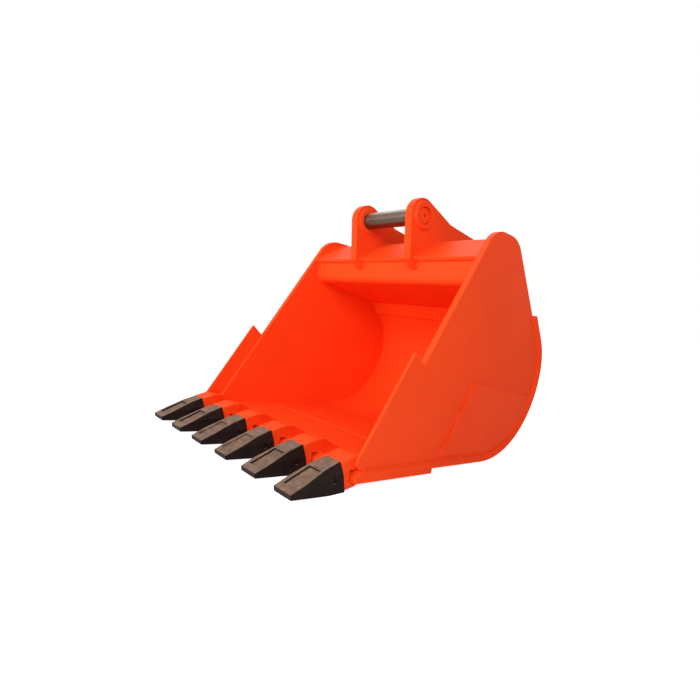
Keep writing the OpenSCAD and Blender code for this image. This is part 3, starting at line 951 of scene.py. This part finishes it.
@dataclass
class Skin:
    """Lip and rolled wrapper."""

    finishes: Finishes
    plate: EdgeBreak = EdgeBreak(width=2.2)
    seam_bead: WeldBead = WeldBead(radius=8.0, step=8.0)
    thin_bead: WeldBead = WeldBead(radius=6.0)
    bevel_gap: float = 10.0
    foot_gap: float = 3.0
    seam_sink: float = 4.0
    plate_gap: float = 6.0
    ledge_gap: float = 4.0

    def build(self) -> None:
        """Dresses the plates and lays the long seams."""
        for node in ("wrapper", "lip"):
            self.plate.dress(node, self.finishes.paint)
        self.weld_sides()
        self.weld_lip()

    def weld_sides(self) -> None:
        """Lays the fillets between the side plates and the skin, outside and inside."""
        outer = LINES.skin(LINES.lip_front + LINES.lip_bevel + self.bevel_gap)
        inner = LINES.skin(LINES.mouth_foot.x + self.foot_gap)[:-1]
        self.seam_bead.lay("outer_side_welds", along_plates(outer), self.finishes.weld)
        self.thin_bead.lay("inner_side_welds", along_plates(inner, LINES.plate_t), self.finishes.weld)

    def weld_lip(self) -> None:
        """Lays the seam where the lip meets the wrapper, above and below."""
        top = Vector((LINES.lip_rear, LINES.lip_t - self.seam_sink))
        step = Vector((LINES.lip_rear, LINES.lip_t - LINES.wrapper_t))
        half = LINES.half_w(LINES.lip_rear)
        spans = ((half - LINES.plate_t - self.plate_gap, top), (half + LINES.ledge - self.ledge_gap, step))
        paths = [[LINES.place(-reach, p), LINES.place(reach, p)] for reach, p in spans]
        self.seam_bead.lay("lip_welds", paths, self.finishes.weld)


@dataclass
class TorqueTube:
    """Shell and front plate of the closed tube between the side plates."""

    finishes: Finishes
    plate: EdgeBreak = EdgeBreak(width=2.0)
    bead: WeldBead = WeldBead(radius=7.0)
    lap_sink: float = 0.2
    plate_gap: float = 4.0

    def build(self) -> None:
        """Dresses the plates and lays the beads at the tube's ends and edges."""
        for node in ("tube_shell", "tube_front"):
            self.plate.dress(node, self.finishes.paint)
        self.weld_ends()
        self.weld_edges()

    def weld_ends(self) -> None:
        """Lays the fillets between the tube and the side plates."""
        paths = []
        for path in (LINES.tube_top(), LINES.tube_front()):
            paths += along_plates(path, LINES.plate_t)
        self.bead.lay("tube_end_welds", paths, self.finishes.weld)

    def weld_edges(self) -> None:
        """Lays the beads along the tube's length: under the overhang, at the lap and on the wrapper's end."""
        lap = LINES.wrapper_top - unit(LINES.back_run) * LINES.shell_lap
        lap -= LINES.back_n * LINES.shell_t * self.lap_sink
        paths = []
        for p in (LINES.face_top, lap, LINES.wrapper_top):
            half = LINES.half_w(p.x) - LINES.plate_t - self.plate_gap
            paths.append([LINES.place(-half, p), LINES.place(half, p)])
        self.bead.lay("tube_length_welds", paths, self.finishes.weld)


@dataclass
class Hanger:
    """Ears on the tube, with their pin bosses and the blocks under the keepers."""

    finishes: Finishes
    plate: EdgeBreak = EdgeBreak(width=2.6)
    boss_edge: EdgeBreak = EdgeBreak(width=2.0, segments=3)
    bead: WeldBead = WeldBead(radius=8.0)
    ring_bead: WeldBead = WeldBead(radius=5.0, step=6.0)
    ear_gap: float = 332.0
    ear_t: float = 40.0
    boss_r: float = 62.0
    front_pin_ahead: float = 121.0
    front_pin_up: float = 67.0
    rear_pin_back: float = 144.0
    rear_pin_drop: float = 31.0
    face_reach: float = 38.0
    heel_reach: float = 60.0
    lap_gap: float = 2.0
    ring_pieces: int = 48

    @property
    def ear_faces(self) -> Range:
        """Places of the right ear's inner and outer face."""
        return self.ear_gap / 2.0, self.ear_gap / 2.0 + self.ear_t

    def build(self) -> None:
        """Dresses the ears and bosses, and lays their beads."""
        for side in ("left", "right"):
            self.plate.dress("ear_" + side, self.finishes.paint)
            self.boss_edge.dress("front_boss_" + side, self.finishes.paint)
            self.boss_edge.dress("rear_boss_" + side, self.finishes.paint)
        self.boss_edge.dress("keeper_blocks", self.finishes.paint)
        self.weld_ears()
        self.weld_bosses()

    def weld_ears(self) -> None:
        """Lays the fillets that hold the ears on the tube, on both faces of each ear."""
        face_low = LINES.face_top + unit(LINES.face_run) * self.face_reach
        under = LINES.shell_edge - unit(LINES.shell_slope + QUARTER) * LINES.shell_t
        under += unit(LINES.shell_slope) * self.lap_gap
        heel = LINES.wrapper_top + unit(LINES.back_run) * self.heel_reach
        side_view = [face_low, LINES.face_top, under] + LINES.tube_top()[:-1] + [heel]
        paths = [path for x in self.ear_faces for path in both_sides([(x, p) for p in side_view])]
        self.bead.lay("ear_welds", paths, self.finishes.weld)

    def weld_bosses(self) -> None:
        """Lays a ring of weld round each boss, on both faces of its ear."""
        front = LINES.front_lobe_c + Vector((-self.front_pin_ahead, LINES.lobe_r + self.front_pin_up))
        rear_lobe = LINES.front_lobe_c + Vector((LINES.crest_len, 0.0))
        rear = rear_lobe + Vector((LINES.lobe_r + self.rear_pin_back, LINES.lobe_r - self.rear_pin_drop))
        paths = []
        for centre in (front, rear):
            ring = arc(centre, self.boss_r, 0.0, 4 * QUARTER, self.ring_pieces)
            for x in self.ear_faces:
                paths += both_sides([(x, p) for p in ring])
        self.ring_bead.lay("boss_welds", paths, self.finishes.weld, closed=True)


@dataclass
class HangerPins:
    """The two sliding pins with their keepers."""

    finishes: Finishes
    pin_edge: EdgeBreak = EdgeBreak(width=1.0)
    plate: EdgeBreak = EdgeBreak(width=1.4)
    bolt: EdgeBreak = EdgeBreak(width=0.7)
    painted_len: float = 14.0

    def build(self) -> None:
        """Dresses each pin, its keeper plate and its bolt."""
        for end, body in (("front", Body.FRONT_PIN), ("rear", Body.REAR_PIN)):
            self.paint_end(self.pin_edge.dress(end + "_pin", self.finishes.steel, body, Slot.STEEL))
            self.plate.dress(end + "_keeper_plate", self.finishes.paint, body)
            self.bolt.dress(end + "_keeper_bolt", self.finishes.steel, body, Slot.STEEL)

    def paint_end(self, pin: bpy.types.Object) -> None:
        """Paints a pin's free end, which is sprayed together with the ear.

        Args:
            pin: The pin, dressed in bare steel.
        """
        pin.data.materials.append(self.finishes.paint)
        free = max(v.co.x for v in pin.data.vertices)
        for face in pin.data.polygons:
            if face.center.x > free - self.painted_len * MM:
                face.material_index = 1


@dataclass
class ToothRow:
    """Adapters, teeth, lock pins and their rings along the lip."""

    finishes: Finishes
    count: int = 6
    adapter_w: float = 96.0
    leg_end_w: float = 57.6
    leg_reach: float = 132.8
    under_reach: float = 83.0
    pitch: float = 214.24
    casting: EdgeBreak = EdgeBreak(width=6.0, segments=3, shortest=9.0)
    tooth_edge: EdgeBreak = EdgeBreak(width=4.0, segments=3, shortest=9.0)
    pin_edge: EdgeBreak = EdgeBreak(width=0.8)
    ring_edge: EdgeBreak = EdgeBreak(width=0.3)
    bead: WeldBead = WeldBead(radius=8.0)

    def build(self) -> None:
        """Dresses each tooth and adapter, and welds the adapters to the lip."""
        for i in range(1, self.count + 1):
            self.casting.dress(f"adapter_{i}", self.finishes.cast_paint)
            self.tooth_edge.dress(f"tooth_{i}", self.finishes.tooth, slot=Slot.TOOTH)
            self.pin_edge.dress(f"lock_pin_{i}", self.finishes.dark_steel, slot=Slot.STEEL)
        self.ring_edge.dress("lock_rings", self.finishes.dark_steel, slot=Slot.STEEL)
        self.weld_adapters()

    def weld_adapters(self) -> None:
        """Lays the beads round each adapter's legs, on top of the lip and under it."""
        paths = []
        start, waist = LINES.lip_front + LINES.lip_bevel, LINES.mouth_foot.x
        wide, narrow = self.adapter_w / 2.0, self.leg_end_w / 2.0
        for i in range(1, self.count + 1):
            mid = (i - (self.count + 1) / 2) * self.pitch
            for height, reach in ((LINES.lip_t, self.leg_reach), (0.0, self.under_reach)):
                end = LINES.lip_front + reach
                corners = [(wide, start), (narrow, waist), (narrow, end),
                           (-narrow, end), (-narrow, waist), (-wide, start)]
                paths.append([LINES.place(mid + x, Vector((y, height))) for x, y in corners])
        self.bead.lay("adapter_welds", paths, self.finishes.weld)


@dataclass(frozen=True)
class SoftBox:
    """A large square lamp that looks at the bucket."""

    name: str
    place: Place
    size: float
    power: float
    aim: Place = (0.0, 0.0, 0.45)

    def build(self) -> None:
        """Hangs the lamp."""
        data = bpy.data.lights.new(self.name, "AREA")
        data.size = self.size
        data.energy = self.power
        lamp = bpy.data.objects.new(self.name, data)
        lamp.location = self.place
        lamp.rotation_euler = (Vector(self.aim) - Vector(self.place)).to_track_quat("-Z", "Y").to_euler()
        bpy.context.scene.collection.objects.link(lamp)


@dataclass
class Studio:
    """Pale floor, white surroundings, soft lamps and the photograph's camera, in metres and degrees."""

    focal_px: float = 500.0
    frame_px: float = 700.0
    sensor: float = 36.0
    yaw: float = 49.13
    pitch: float = 4.57
    roll: float = 5.44
    stand: Place = (1.7856, -1.5786, 0.6006)
    floor_size: float = 60.0
    floor_color: Colour = (0.9, 0.9, 0.9, 1.0)
    floor_roughness: float = 0.9
    floor_specular: float = 0.1
    floor_glow: float = 0.84
    world_light: float = 0.28
    lamps: tuple[SoftBox, ...] = (
        SoftBox("key", place=(3.0, -2.2, 2.1), size=2.0, power=79.0),
        SoftBox("front_fill", place=(-0.5, -3.8, 1.7), size=2.4, power=118.0),
        SoftBox("top", place=(-0.6, 0.4, 3.4), size=2.6, power=32.0),
    )

    def build(self) -> None:
        """Builds the stage and sets the camera."""
        bpy.context.scene.view_settings.view_transform = "Standard"
        self.build_floor()
        self.build_world()
        for lamp in self.lamps:
            lamp.build()
        self.build_camera()

    def build_floor(self) -> None:
        """Lays the floor, which glows towards the camera so that it shows white and keeps the shadow."""
        bm = bmesh.new()
        bmesh.ops.create_grid(bm, x_segments=1, y_segments=1, size=self.floor_size / 2.0)
        mesh = bpy.data.meshes.new("studio_floor")
        bm.to_mesh(mesh)
        bm.free()
        floor = add_object("studio_floor", mesh)
        material, build = new_material("pale_floor")
        path = build.add("LightPath")
        glow = build.times(path.outputs["Is Camera Ray"], self.floor_glow)
        build.end({"Base Color": self.floor_color, "Roughness": self.floor_roughness,
                   "Specular IOR Level": self.floor_specular, "Emission Color": WHITE,
                   "Emission Strength": glow})
        floor.data.materials.append(material)
        log.info("%s: %.0f m wide", floor.name, self.floor_size)

    def build_world(self) -> None:
        """Fills the surroundings with soft light, and with white where they are seen directly."""
        world = bpy.data.worlds.new("studio_world")
        world.use_nodes = True
        build = Nodes(world.node_tree)
        path = build.add("LightPath")
        seen = build.add("Math", {"0": path.outputs["Is Camera Ray"], "1": path.outputs["Is Glossy Ray"]},
                         operation="ADD")
        seen = build.add("Math", {"0": seen.outputs[0], "1": path.outputs["Is Transmission Ray"]},
                         operation="ADD", use_clamp=True)
        strength = build.ramp(seen.outputs[0], 0.0, 1.0, self.world_light)
        shade = build.add("Background", {"Color": WHITE, "Strength": strength})
        build.add("OutputWorld", {"Surface": shade.outputs["Background"]})
        bpy.context.scene.world = world

    def build_camera(self) -> None:
        """Sets the camera where the photograph was taken."""
        yaw, pitch, roll = (math.radians(a) for a in (self.yaw, self.pitch, self.roll))
        forward = Vector((-math.sin(yaw) * math.cos(pitch), math.cos(yaw) * math.cos(pitch),
                          -math.sin(pitch)))
        level = Vector((math.cos(yaw), math.sin(yaw), 0.0))
        up = level.cross(forward)
        right = level * math.cos(roll) + up * math.sin(roll)
        top = up * math.cos(roll) - level * math.sin(roll)
        data = bpy.data.cameras.new("photo_camera")
        data.sensor_width = self.sensor
        data.lens = data.sensor_width * self.focal_px / self.frame_px
        camera = bpy.data.objects.new("photo_camera", data)
        turn = Matrix((right, top, -forward)).transposed().to_4x4()
        camera.matrix_world = Matrix.Translation(self.stand) @ turn
        bpy.context.scene.collection.objects.link(camera)
        bpy.context.scene.camera = camera


def main() -> None:
    """Builds the bucket's looks and the studio, piece by piece."""
    logging.basicConfig(level=logging.INFO, format="%(name)s: %(message)s")
    finishes = Finishes()
    for assembly in (Skin(finishes), Sides(finishes), TorqueTube(finishes), Hanger(finishes),
                     HangerPins(finishes), ToothRow(finishes)):
        assembly.build()
    Studio().build()


if __name__ == "__main__":
    main()
